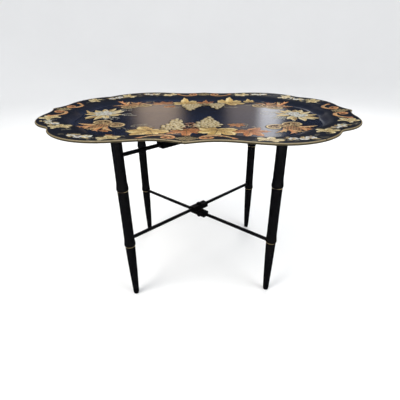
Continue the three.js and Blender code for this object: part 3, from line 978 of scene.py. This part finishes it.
# The same for the scroll on the brim.
BRIM_SCROLL = [
    (0, -100), (0.12, -50), (0.25, -15), (0.42, 8), (0.55, 60),
    (0.68, 140), (0.8, 230), (0.9, 330), (1, 470),
]
BRIM_GROUND = [(-32, 0), (-10.5, -21.5), (10.5, -21.5), (32, 0), (10.5, 21.5), (-10.5, 21.5)]
QUARTERS = [(sx, sy) for sx in (-1, 1) for sy in (-1, 1)]


def paint_brim_points():
    """The pair of scrolls either side of each of the outline's points."""
    path = wound(120, BRIM_SCROLL) * [-1, 1]
    low, high = path.min(0), path.max(0)
    path = ((path - low) / (high - low) * [60, 30] + [30, -18])[::-1]
    spots = [path[int(share * (len(path) - 1))] for share in (0.5, 0.68, 0.84, 1.0)]
    tip = spots[-1]
    for on_long_side in (False, True):
        for sx, sy in QUARTERS:
            place = along_brim(25, sx, sy, on_long_side)
            scroll(path, place, 7.6, COPPER_LIGHT, COPPER, teeth=9)
            flame(spots, place, 10, CREAM_GOLD, COPPER, 0.42)
            flame([tip + [0, -12], tip + [5, -4], tip + [7, 4]], place, 6, COPPER_LIGHT, COPPER, 0.36)


def paint_brim_lattices():
    """The lattice on the brim at each of the outline's points."""

    def inside(u, v):
        return abs(u) + abs(v) < 30 and abs(v) < 20.5

    for sx, sy, on_long_side in ((1, 1, False), (-1, 1, False), (1, 1, True), (1, -1, True)):
        place = along_brim(24.5, sx, sy, on_long_side)
        lattice(place, inside, 7.8, 1.15, LATTICE_LINE, 40, BRIM_GROUND)


# The brim's leaves and clusters of blossom: x, y and turn. Only the direction of x, y counts.
BRIM_LEAVES = [
    (-118, 276, 200), (127, 276, -160), (-240, 233, 150), (260, 222, 240),
    (-333, 147, 100), (333, 150, 260), (-354, -108, 60), (354, -117, -50),
    (-284, -196, 30), (278, -213, -30), (-141, -268, 20), (143, -267, -20),
]
BRIM_CLUSTERS = [
    (-183, 279, 5), (187, 279, -5), (-288, 197, 50), (299, 187, -50),
    (-319, -151, -40), (309, -172, 45), (-211, -270, -10), (213, -270, 10),
]


def on_brim(x, y, inset=28):
    """The point of the brim at an inset, in the same direction from the centre as x, y."""
    ring = inset_ring(inset)
    off = np.arctan2(ring[:, 1], ring[:, 0]) - math.atan2(y, x)
    return ring[np.argmin(np.abs(np.sin(off / 2)))]


def paint_brim():
    for i, (x, y, turn) in enumerate(BRIM_LEAVES):
        place = at(*on_brim(x, y), turn)
        leaf(place, 26, BRIM_LOBES, ROUND_EDGE, (CREAM, GOLD_LIGHT, GOLD_DARK), seed=200 + i)
    for i, (x, y, turn) in enumerate(BRIM_CLUSTERS):
        paint_cluster(at(*on_brim(x, y), turn), random.Random(300 + i))
    rng = random.Random(77)
    for x, y, _ in BRIM_LEAVES + BRIM_CLUSTERS:
        for off in (-0.1, -0.06, 0.05, 0.09):
            a = math.atan2(y, x) + off + rng.uniform(-0.015, 0.015)
            spot = on_brim(math.cos(a), math.sin(a), rng.uniform(16, 42))
            tendril(at(*spot, rng.uniform(0, 360)), rng.uniform(22, 34), 400, 0.9)


def paint_cluster(place, rng):
    """Three small blossoms on the brim with pale berries and three pointed leaves beside them."""
    for u, v in ((-15, 2), (3, -4), (18, 4)):
        local = at(u, v)
        blossom(lambda p, local=local: place(local(p)), rng.uniform(8.5, 10.5), rng, 0.3)
    for _ in range(9):
        u, v = rng.uniform(-27, 27), rng.uniform(-13, 13)
        berry(u, v, rng.uniform(2.6, 4.2), rng, blend(CREAM, GOLD, rng.random()), 0.06, place=place)
    for u, v in ((-24, 9), (24, -9), (8, 12)):
        lance(flowers, (u * 0.4, v * 0.4), (u * 1.25, v * 1.3), 7, GOLD_LIGHT, GOLD_DARK, place, 0.1, 0.12)


# The pairs of tendrils on the floor: x, y, turn and length.
LOOSE_TENDRILS = [
    (-150, 150, 160, 50), (150, 158, 20, 60), (-66, 118, 200, 44), (84, 118, -30, 50),
    (-128, -108, 190, 50), (150, -118, -10, 56), (-110, -118, 150, 44), (118, -112, 60, 46),
    (-150, -150, 120, 50), (172, -196, 20, 40), (180, 196, 10, 40), (-170, 212, 170, 34),
]


def paint_loose_tendrils():
    for x, y, turn, length in LOOSE_TENDRILS:
        tendril(at(x, y, turn), length, 430, 1.1)
        tendril(at(x, y, turn + 40, mirror=True), length * 0.7, 400, 0.9)


def decorate():
    paint_floor_leaves()
    paint_bunches()
    for side in (-1, 1):
        paint_spray(side)
    for sx, sy in QUARTERS:
        paint_corner(sx, sy)
    paint_brim()
    paint_brim_points()
    paint_brim_lattices()
    paint_loose_tendrils()
    for layer in (leaves, veins, grapes, flowers, scrolls, lattices, tendrils):
        layer.build()


decorate()


# ---- the stand -------------------------------------------


def leg_profile(height):
    """Radius and height up a leg, with slots: 0 for lacquer and 1 for the gilt lines."""

    def node(z, below, above):
        """The swelling at height z, with the leg's radii below and above it."""
        return [
            (below, z - 5, 0), (below + 0.1, z - 3.1, 0),
            (below + 0.5, z - 2.8, 1), (below + 0.6, z - 2.2, 1),
            (below + 0.2, z - 1.6, 0), (below + 0.1, z - 1.0, 0),
            (13.4, z - 0.4, 0), (13.9, z + 0.6, 0), (14.1, z + 2.6, 0), (14.05, z + 5, 0),
            (13.7, z + 8, 0), (13.2, z + 12, 0), (above + 0.1, z + 18, 0), (above, z + 26, 0),
        ]

    foot = [(0.01, 0, 0), (3.0, 0, 0), (4.9, 0.15, 0), (6.1, 0.8, 0), (6.9, 2.0, 0), (7.4, 4.5, 0)]
    shank = [(7.7, 9, 0), (8.8, 36, 0), (10.2, 72, 0), (11.4, 112, 0)]
    waist = [(12.4, (LOWER_NODE_Z + UPPER_NODE_Z) / 2, 0), (12.55, UPPER_NODE_Z - 30, 0)]
    top = [(12.2, 380, 0), (12.0, height - 2, 0), (11.4, height - 0.3, 0)]
    top += [(10.6, height, 0), (0.01, height, 0)]
    return foot + shank + node(LOWER_NODE_Z, 12.4, 12.6) + waist + node(UPPER_NODE_Z, 12.7, 12.5) + top


def build_leg(node, body):
    """A turned leg in place of a faceted one."""
    low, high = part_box(node)
    centre = Vector(((low.x + high.x) / 2, (low.y + high.y) / 2, low.z))
    rows = leg_profile((high.z - low.z) / MM)
    profile = [(r, z) for r, z, _ in rows]
    leg = lathe(f"turned_{node}", profile, centre, [EBONISED, GILT_LINE], slot_of=lambda i: rows[i][2])
    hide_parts(node)
    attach(leg, body)


def build_rod(node, body):
    """A turned rod in place of a faceted one: a little stout in the middle, with eased ends."""
    points = np.array([v.co for v in frame["nodes"][node].data.vertices])
    centre = (points.min(0) + points.max(0)) / 2
    flat = (points - centre)[:, :2]
    direction = np.linalg.eigh(flat.T @ flat)[1][:, -1]
    half = float(np.abs(flat @ direction).max()) / MM
    end = [(0.01, half), (3.6, half), (4.3, half - 0.6), (4.45, half - 2)]
    profile = [(r, -z) for r, z in end]
    profile += [(ROD_RADIUS - 0.14 * t**2, t * half) for t in np.linspace(-0.94, 0.94, 15)]
    profile += end[::-1]
    rod = lathe(f"turned_{node}", profile, (0, 0, 0), [EBONISED_RAILS], segments=32)
    along = Matrix.Rotation(math.atan2(direction[1], direction[0]), 4, "Z")
    rod.data.transform(Matrix.Translation(centre) @ along @ Matrix.Rotation(math.pi / 2, 4, "Y"))
    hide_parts(node)
    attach(rod, body)


def dress(node, material, bevel=0.0):
    """Gives a CAD node its finish, and eases its edges."""
    obj = frame["nodes"][node]
    obj.data.materials.clear()
    obj.data.materials.append(material)
    if bevel:
        ease = obj.modifiers.new("eased_edges", "BEVEL")
        ease.width, ease.segments, ease.limit_method = bevel * MM, 3, "ANGLE"
        ease.angle_limit = math.radians(30)


def build_stand():
    for body, nodes in frame["record"]["behaviour"]["bodies"].items():
        for node in nodes:
            if node.startswith("leg_"):
                build_leg(node, body)
            elif "rod" in node or "dowel" in node:
                build_rod(node, body)
            elif "hub" in node or node.startswith("top_rail_"):
                dress(node, EBONISED_RAILS, 0.8)
            elif "middle" in node:
                dress(node, FIBRE)
            elif "bolt" in node or "nut" in node or "washer" in node:
                dress(node, STEEL, 0.25)
            elif node == "tray_edge_wire":
                dress(node, WIRE)


build_stand()


# ---- studio ----------------------------------------------
CAMERA_PLACE = (0.0633, -0.8127, 0.6173)
CAMERA_PITCH, CAMERA_YAW, CAMERA_ROLL = 27.05, 4.22, -0.54
CAMERA_LENS = 27.5


def build_camera():
    camera = bpy.data.objects.new("camera", bpy.data.cameras.new("camera"))
    camera.data.lens = CAMERA_LENS
    camera.data.sensor_width = 36
    camera.data.clip_start = 0.02
    camera.location = CAMERA_PLACE
    turn = Matrix.Rotation(math.radians(CAMERA_YAW), 3, "Z")
    turn = turn @ Matrix.Rotation(math.radians(90 - CAMERA_PITCH), 3, "X")
    turn = turn @ Matrix.Rotation(math.radians(CAMERA_ROLL), 3, "Z")
    camera.rotation_euler = turn.to_euler()
    bpy.context.scene.collection.objects.link(camera)
    bpy.context.scene.camera = camera


def build_floor():
    """A pale disc that curves up into a wall all round. Its profile is in metres."""
    s = Shader("studio_paper", Roughness=0.9)
    s.feed(Base_Color=s.mix(s.noise(1.5, 3.0), srgb(244, 244, 243), srgb(249, 249, 248)))
    s.bump((s.noise(60.0, 2.0), 0.02, 1.0))
    flat, bend, wall = 3.4, 2.2, 3.0
    profile = [(0.00001, 0), (0.4, 0), (1.2, 0), (flat, 0)]
    for a in np.radians(np.linspace(8, 90, 16)):
        profile.append((flat + bend * math.sin(a), bend * (1 - math.cos(a))))
    profile.append((flat + bend, bend + wall))
    rows = [(r / MM, z / MM) for r, z in profile]
    floor = lathe("studio_floor", rows, (0, 0, 0), [s.material], segments=96, capped=False)
    floor.visible_glossy = False


# What the lacquer reflects: windows as azimuth in degrees, half width, strength, sill and colour.
WINDOWS = [
    (103.9, 5.5, 0.86, 0.65, srgb(208, 184, 160)),
    (83.4, 4.3, 0.5, 0.65, srgb(190, 176, 168)),
    (77.2, 2.7, 1.5, 0.65, srgb(224, 224, 228)),
    (130, 9, 0.1, 0.65, srgb(200, 190, 170)),
    (52, 9, 0.14, 0.65, srgb(190, 192, 200)),
    (0, 30, 0.08, 0.4, srgb(200, 205, 215)),
    (180, 30, 0.08, 0.4, srgb(205, 195, 180)),
    (224, 9, 0.32, -0.3, srgb(196, 206, 226)),
    (268, 14, 0.2, -0.3, srgb(225, 222, 216)),
    (316, 8, 0.3, -0.3, srgb(196, 202, 220)),
]
ROOM_RADIUS, ROOM_BOTTOM, ROOM_TOP = 2.6, -0.3, 3.2
ROOM, CEILING = srgb(52, 51, 56), srgb(150, 166, 196)


def build_surround():
    """What gloss rays see: a closed dim room with tall soft windows."""
    s = Shader("dim_room", surface="ShaderNodeEmission")
    s.feed(Color=s.add("ShaderNodeVertexColor", layer_name="glow").outputs["Color"])
    columns, rows = 360, 40
    share = np.repeat(np.linspace(0, 1, rows), columns)
    z = ROOM_BOTTOM + (ROOM_TOP - ROOM_BOTTOM) * share
    degrees = np.tile(np.linspace(0, 360, columns, endpoint=False), rows)
    glow = np.outer(0.25 + 0.9 * share, ROOM) + np.outer(0.5 * share**4, CEILING)
    for azimuth, half, strength, sill, colour in WINDOWS:
        pane = np.interp(z, (sill - 0.1, sill + 0.1, 1.35, 1.75), (0, 1, 1, 0.08))
        off = degrees_off(degrees, azimuth) / half
        glow += np.outer(strength * np.exp(-(off**4)) * pane, colour)
    a = np.radians(degrees)
    wall = np.column_stack([ROOM_RADIUS * np.cos(a), ROOM_RADIUS * np.sin(a), z])
    faces = grid_faces(rows, columns, wrap=True)
    for first, centre in ((0, rows * columns), ((rows - 1) * columns, rows * columns + 1)):
        faces += [(first + c, first + (c + 1) % columns, centre) for c in range(columns)]
    points = np.vstack([wall, (0, 0, ROOM_BOTTOM), (0, 0, ROOM_TOP)])
    obj = make_object("reflected_room", points, faces, [s.material])
    colour_points(obj, "glow", np.vstack([glow, ROOM * 0.15, CEILING]))
    obj.visible_camera = obj.visible_diffuse = obj.visible_shadow = False
    obj.visible_transmission = obj.visible_volume_scatter = False


def soft_light(name, place, aim, size, power, colour):
    light = bpy.data.lights.new(name, "AREA")
    light.shape, light.size, light.energy, light.color = "DISK", size, power, colour
    obj = bpy.data.objects.new(name, light)
    obj.location = place
    obj.rotation_euler = (Vector(aim) - Vector(place)).to_track_quat("-Z", "Y").to_euler()
    obj.visible_glossy = False
    bpy.context.scene.collection.objects.link(obj)


def build_lights():
    soft_light("key", (-1.5, -1.4, 2.4), (0, 0, 0.3), 1.6, 55, (1.0, 0.98, 0.95))
    soft_light("fill", (1.8, -1.0, 1.9), (0, 0, 0.3), 1.8, 30, (0.95, 0.97, 1.0))
    soft_light("back", (0.3, 2.0, 2.3), (0, 0, 0.3), 1.6, 34, (1.0, 0.99, 0.97))
    world = bpy.data.worlds.new("studio")
    bpy.context.scene.world = world
    world.use_nodes = True
    sky = world.node_tree.nodes["Background"]
    sky.inputs[0].default_value = (0.93, 0.95, 1.0, 1)
    sky.inputs[1].default_value = 0.75
    bpy.context.scene.view_settings.view_transform = "Standard"


build_camera()
build_floor()
build_surround()
build_lights()
